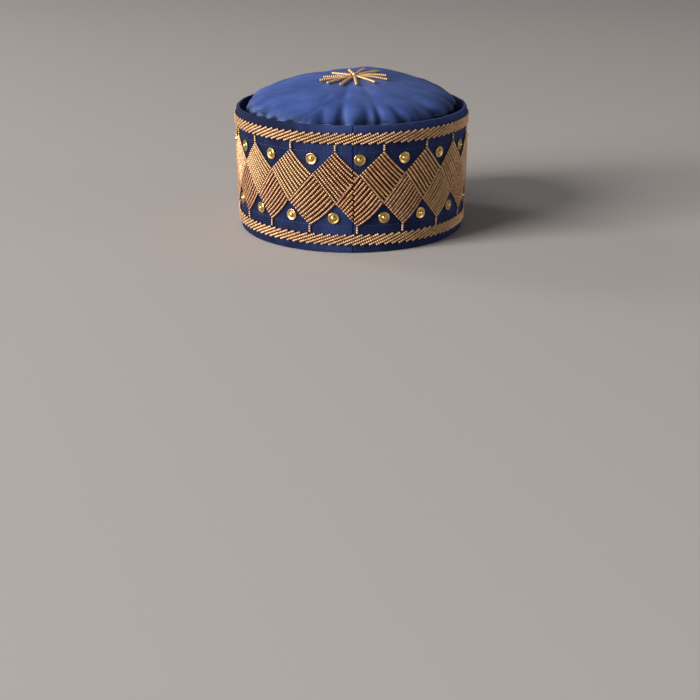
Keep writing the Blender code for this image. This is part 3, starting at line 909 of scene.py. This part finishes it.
# The tint ranges of single diamonds, by half step, as the deepest and the palest bead. They are painted
# sheen and painted shade: paler where the light catches a diamond's strings and darker where it misses them.
PAINTED_SHEEN_RANGES = {-11: (0.5, 1.0), -8: (0.0, 0.5), -5: (0.0, 0.2), -4: (0.6, 1.0), -3: (0.0, 0.3), -2: (0.8, 1.0),
           -1: (0.2, 0.9), 0: (0.0, 0.6), 2: (0.1, 0.8), 5: (0.5, 1.0), 9: (0.0, 0.3), 12: (0.8, 1.0),
           14: (0.0, 0.6), 15: (0.3, 0.9)}


def fill_diamonds(name, first, heights, side_point, slants_down, tint_and_sheen_range):
    """One row of diamonds: heights of tops, side corners and bottoms, from half step first on."""
    work = Beadwork(name)
    jitter = np.random.default_rng(21 + first)
    top, middle, bottom = heights
    for i in range(REPEATS):
        k = first + 2 * i
        peak, foot = np.array((share_of(k, HIGH), top)), np.array((share_of(k, LOW), bottom))
        bow = jitter.uniform(-0.2, 0.8) * MM
        work.tint_and_sheen_range = PAINTED_SHEEN_RANGES.get((k + REPEATS) % HALF_STEPS - REPEATS, tint_and_sheen_range)
        left = np.array((share_of(k - 1, side_point), middle))
        right = np.array((share_of(k + 1, side_point), middle))
        for j in range(STRINGS):
            t = FIRST_STRING + STRING_SPREAD * j / (STRINGS - 1)
            if slants_down:
                start, end = peak + (left - peak) * t, right + (foot - right) * t
            else:
                start, end = left + (foot - left) * t, peak + (right - peak) * t
            start = start + jitter.normal(0, HAND, 2) / [GIRTH, 1]
            end = end + jitter.normal(0, HAND, 2) / [GIRTH, 1]
            sag = jitter.normal(0, HAND) + (bow * (1 - t) if slants_down else SAG * t**1.5)
            radius = STRING_RADIUS * jitter.uniform(0.96, 1.03)
            for part in parts_beside_seam(start, end):
                work.string(wall_path(start, end, FELT_RISE + STRING_RADIUS * SUNK, sag, part), radius)
    work.sew(gold, "bead_lattice")


upper_row = (upper_tip, upper_notch, lower_notch)
lower_row = (upper_notch, lower_notch, lower_tip)
# The lower row's beads are drawn from darker tints than the upper row's, as painted shade where the light
# misses their strings.
fill_diamonds("upper_diamonds", 0, upper_row, HIGH, True, (0.3, 1.0))
fill_diamonds("lower_diamonds", 1, lower_row, LOW, False, (0.0, 0.7))

# %% [markdown]
# Two braids edge the lattice. Each is a row of slanted strings, low at their left ends and high at their
# right ends, laid so close that every one leans on the next. The strings of a real braid are not quite
# alike, so their ends step in and out by up to a quarter of a bead.

# %% Lay the braids
BRAID_STRINGS = 103
BRAID_RUN = 18.5 * MM
BRAID_RADIUS = 0.87 * MM
BRAID_WANDER = 0.35


def lay_braid(name, node, heights, seed):
    work = Beadwork(name)
    jitter = np.random.default_rng(seed)
    inset = BRAID_RADIUS * 0.8
    for i in range(BRAID_STRINGS):
        share = (i + 0.5) / BRAID_STRINGS + jitter.normal(0, HAND) / GIRTH
        run = BRAID_RUN / GIRTH / 2
        wander = jitter.uniform(-BRAID_WANDER, BRAID_WANDER, 2) * MM
        start = (share - run + wander[0] / GIRTH, heights[0] + inset + 0.3 * wander[0])
        end = (share + run + wander[1] / GIRTH, heights[1] - inset + 0.3 * wander[1])
        path = wall_path(start, end, FELT_RISE + BRAID_RADIUS * SUNK)
        work.string(path, BRAID_RADIUS * jitter.uniform(0.96, 1.02))
    work.sew(gold, node)


lay_braid("upper_braid", "braid_upper", braid_up, 31)
lay_braid("lower_braid", "braid_lower", braid_down, 32)

# %% [markdown]
# From every tip a short stem of beads runs to the braid that the tip faces. The stem's first bead sits
# just clear of the diamond, and its last one touches the braid.

# %% Thread the stems
STEM_RADIUS = 0.85 * MM


def thread_stems():
    work = Beadwork("stems")
    for i in range(HALF_STEPS):
        share = share_of(i, LOW if i % 2 else HIGH)
        start, end = (lower_tip, braid_down[1]) if i % 2 else (upper_tip, braid_up[0])
        work.string(wall_path((share, start), (share, end), FIT + STEM_RADIUS), STEM_RADIUS)
    work.sew(gold)


thread_stems()

# %% [markdown]
# A star of twelve strings lies on the crown. They meet under one larger bead, so towards the middle their
# beads get smaller, or the strings would run into each other. Each string follows the crown's dome.

# %% Lay the star
STAR_LENGTH = 27.0 * MM
STAR_RADIUS = 1.2 * MM
STAR_START = 2.7 * MM
CENTRE_BEAD = 1.8 * MM
RAY_FILL = 0.92
STAR_RIGHT, STAR_BACK = 2.2 * MM, 2.8 * MM
#       angle  length
RAYS = ((4.5, 0.89),
        (35, 0.86),
        (70, 0.84),
        (99, 0.81),
        (138, 0.82),
        (175, 0.86),
        (196, 1.00),
        (221, 1.00),
        (247, 1.00),
        (273, 0.94),
        (308, 0.92),
        (339, 0.97))


def over_crown(distance, degrees, lift):
    x = STAR_RIGHT + distance * math.cos(math.radians(degrees))
    y = distance * math.sin(math.radians(degrees)) - STAR_BACK
    reach = np.hypot(x / crown_width, y / crown_depth)
    return dome(reach, np.arctan2(x / crown_width, -y / crown_depth)) + [0, 0, lift]


def lay_star():
    work = Beadwork("star", sides=10, tint_and_sheen_range=(0.6, 1.0))
    for i, (degrees, length) in enumerate(RAYS):
        before, after = RAYS[i - 1][0], RAYS[(i + 1) % len(RAYS)][0]
        room = math.radians(min((degrees - before) % 360, (after - degrees) % 360)) / 2
        span = length * STAR_LENGTH - STAR_START

        def path(steps):
            points = over_crown(STAR_START + span * np.asarray(steps), degrees, FIT + STAR_RADIUS)
            return points, np.broadcast_to([0.0, 0.0, 1.0], points.shape)

        def taper(steps):
            return np.clip((STAR_START + span * steps) * math.sin(room) * RAY_FILL / STAR_RADIUS, 0, 1)

        work.string(path, STAR_RADIUS, taper=taper)

    def across(steps):
        along = (2 * np.asarray(steps)[:, None] - 1) * CENTRE_BEAD
        points = over_crown(np.zeros(len(steps)), 90, FIT + CENTRE_BEAD) + [1, 0, 0] * along
        return points, np.broadcast_to([0.0, 0.0, 1.0], points.shape)

    work.string(across, CENTRE_BEAD, pitch=2 * CENTRE_BEAD)
    work.sew(gold, "crown_star")


lay_star()

# %% [markdown]
# The studs are stamped brass: a disc with a raised rim, a shallow dish inside it and a small boss in the
# middle. A turned profile gives the shape, and one mesh serves all thirty-four. The brass is dull where
# polish doesn't reach. Each stud is pressed on where the model has one.

# %% Stamp the studs
STUD_RADIUS = 4.1 * MM
#                radius height dull
STUD_PROFILE = ((1.0, 0.0, 1.0),
                (1.0, 0.26, 0.3), (0.97, 0.40, 0.0), (0.92, 0.46, 0.0), (0.86, 0.44, 0.6),
                (0.70, 0.32, 0.5), (0.54, 0.25, 0.6), (0.45, 0.28, 1.0), (0.40, 0.46, 0.6),
                (0.36, 0.68, 0.1), (0.29, 0.86, 0.0), (0.20, 0.95, 0.0), (0.10, 0.99, 0.0))
STUD_RISE = 2.1 * MM
STUD_SIDES = 36


def polished_brass():
    finish = Finish("polished_brass", {"Metallic": 1.0})
    place = finish.position()
    marks = finish.noise(place, scale=900, detail=3.0)
    drawn = finish.node("ShaderNodeVectorMath", {"operation": "MULTIPLY"}, {0: place, 1: (400, 3000, 400)})
    scratches = finish.noise(drawn, detail=2.0)
    dull = finish.painted("dull")
    base = finish.mix(dull * 0.8 + marks * 0.15, (1.00, 0.72, 0.28, 1), (0.30, 0.16, 0.05, 1))
    finish.bump(marks * 0.6 + scratches * 0.4, 0.00003)
    return finish.wear(Base_Color=base, Roughness=0.17 + marks * 0.12 + dull * 0.25)


def stud_mesh():
    turn = np.linspace(0, 2 * np.pi, STUD_SIDES, endpoint=False)
    circle = np.stack([np.cos(turn), np.sin(turn), np.zeros(STUD_SIDES)], 1)
    rings = [circle * r * STUD_RADIUS + [0, 0, h * STUD_RISE] for r, h, _ in STUD_PROFILE]
    points = np.concatenate([*rings, [[0, 0, STUD_RISE], [0, 0, 0]]])
    last = (len(STUD_PROFILE) - 1) * STUD_SIDES
    faces = faces_between(len(STUD_PROFILE), STUD_SIDES).tolist()
    faces += fan(last, STUD_SIDES, len(points) - 2) + fan(0, STUD_SIDES, len(points) - 1, turned=True)
    mesh = make_mesh("stud", points, faces)
    paint(mesh, "dull", np.append(np.repeat([row[2] for row in STUD_PROFILE], STUD_SIDES), [0, 1]))
    return mesh


def press_stud(node, half_step):
    low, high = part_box(node)
    share, height = np.array(share_of(half_step, STUD)), np.array((low.z + high.z) / 2)
    out = outward(share, height)
    along = unit(wall(share + STEP_ALONG, height) - wall(share - STEP_ALONG, height))
    axes = Matrix((along, np.cross(out, along), out)).transposed().to_4x4()
    stud = add_object(node.replace("stud", "brass_stud"), stud_form)
    stud.matrix_world = Matrix.Translation(wall(share, height) + out * FIT) @ axes
    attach(stud, "root")
    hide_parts(node)


stud_form = stud_mesh()
stud_form.materials.append(polished_brass())
stud_form.shade_smooth()
for i in range(REPEATS):
    press_stud(f"stud_upper_{i + 1:02d}", 2 * i + 1)
    press_stud(f"stud_lower_{i + 1:02d}", 2 * i)
print("pressed", 2 * REPEATS, "studs of", len(stud_form.polygons), "faces")

# %% [markdown]
# Two rows of stitches hold the velvet to its interlining, one a little below the upper braid and one a
# little above the lower braid. Every stitch is a short thread that dips into the cloth at both ends. They
# are real threads, and not a pattern, so that they catch the light and throw a shadow.

# %% Stitch the velvet
STITCH_LENGTH = 2.3 * MM
STITCH_GAP = 0.9 * MM
STITCH_STRAY = 0.08 * MM
THREAD_RADIUS = 0.17 * MM
THREAD_SIDES = 6
THREAD_STEPS = 7


def navy_thread():
    finish = Finish("navy_thread", {"Roughness": 0.45, "Sheen Weight": 0.2})
    place = finish.position()
    twist = finish.noise(place, scale=2500, detail=1.0)
    finish.bump(twist, 0.00004)
    return finish.wear(Base_Color=finish.mix(twist, (0.022, 0.036, 0.130, 1), (0.045, 0.066, 0.200, 1)))


def stitch_rows():
    points, faces = [], []
    jitter = np.random.default_rng(41)
    count = round(GIRTH / (STITCH_LENGTH + STITCH_GAP))
    turn = 2 * np.pi * np.arange(THREAD_SIDES) / THREAD_SIDES
    steps = np.linspace(-1, 1, THREAD_STEPS)
    radii = np.full(THREAD_STEPS, THREAD_RADIUS)
    lift = THREAD_RADIUS * (0.5 - 1.9 * steps**4) - STITCH_DIP
    for row in STITCH_ROWS:
        for i in range(count):
            share = (i + 0.5) / count + steps * STITCH_LENGTH / 2 / GIRTH
            height = row + jitter.normal(0, STITCH_STRAY) + np.zeros(THREAD_STEPS)
            out = outward(share, height)
            centre = wall(share, height) + out * lift[:, None]
            side = np.cross(unit(np.gradient(centre, axis=0)), out)
            faces += tube_faces(THREAD_STEPS, THREAD_SIDES, len(points) * THREAD_STEPS * THREAD_SIDES)
            points.append(tube_points(centre, side, out, radii, turn))
    mesh = make_mesh("stitches", np.concatenate(points), faces)
    return show("stitches", mesh, navy_thread())


stitches = stitch_rows()
print("stitches:", len(stitches.data.polygons), "faces")

# %% [markdown]

# %% [markdown]
# The stage is a plain pale floor. All the lights are large and soft and stand well away, so that the floor
# is lit evenly. The widest and strongest is on the left of the camera, and a smaller one stands lower and
# further round, because a round string shines only where it faces halfway to a light. One behind on the
# left lights the ends of the braid, a weak one hangs high over the left side, and another lifts the right
# side from low down.

# %% Light the stage
CENTRE = Vector((0, 0, 0.06))
FLOOR_HALF = 30
FLOOR_COLOUR = (0.52, 0.485, 0.47, 1)
#          name      azimuth height away size  power colour
LIGHTS = (("key", -56, 22, 5.0, 3.0, 290, (1.0, 0.97, 0.93)),
          ("side", -68, 14, 5.0, 1.3, 80, (1.0, 0.97, 0.93)),
          ("kicker", -122, 22, 4.0, 1.2, 30, (1.0, 0.96, 0.90)),
          ("top", -60, 60, 4.0, 1.5, 10, (1.0, 0.98, 0.96)),
          ("fill", 70, 6, 5.0, 1.0, 34, (1.0, 0.95, 0.90)))
SKY_COLOUR, SKY_STRENGTH = (0.93, 0.95, 1.0, 1), 0.11


def area_light(name, azimuth, elevation, distance, size, power, colour):
    """A round soft light that faces the cap. Azimuth 0 is at the camera's side, negative to its left."""
    light = bpy.data.lights.new(name, "AREA")
    light.shape = "DISK"
    light.size = size
    light.energy = power
    light.color = colour
    a, e = math.radians(azimuth), math.radians(elevation)
    away = Vector((math.sin(a) * math.cos(e), -math.cos(a) * math.cos(e), math.sin(e)))
    lamp = add_object(name, light)
    lamp.location = CENTRE + away * distance
    lamp.rotation_euler = (-away).to_track_quat("-Z", "Y").to_euler()


def lay_floor():
    far = FLOOR_HALF
    corners = [(-far, -far, 0), (far, -far, 0), (far, far, 0), (-far, far, 0)]
    mesh = make_mesh("floor", corners, [(0, 1, 2, 3)])
    floor = add_object("floor", mesh)
    finish = Finish("floor", {"Roughness": 0.9, "Specular IOR Level": 0.2, "Base Color": FLOOR_COLOUR})
    mesh.materials.append(finish.material)


lay_floor()
for light in LIGHTS:
    area_light(*light)
world = bpy.data.worlds.new("studio")
world.use_nodes = True
world.node_tree.nodes["Background"].inputs["Color"].default_value = SKY_COLOUR
world.node_tree.nodes["Background"].inputs["Strength"].default_value = SKY_STRENGTH
bpy.context.scene.world = world
bpy.context.scene.view_settings.view_transform = "Standard"
print("stage lit by", len(LIGHTS), "lights")
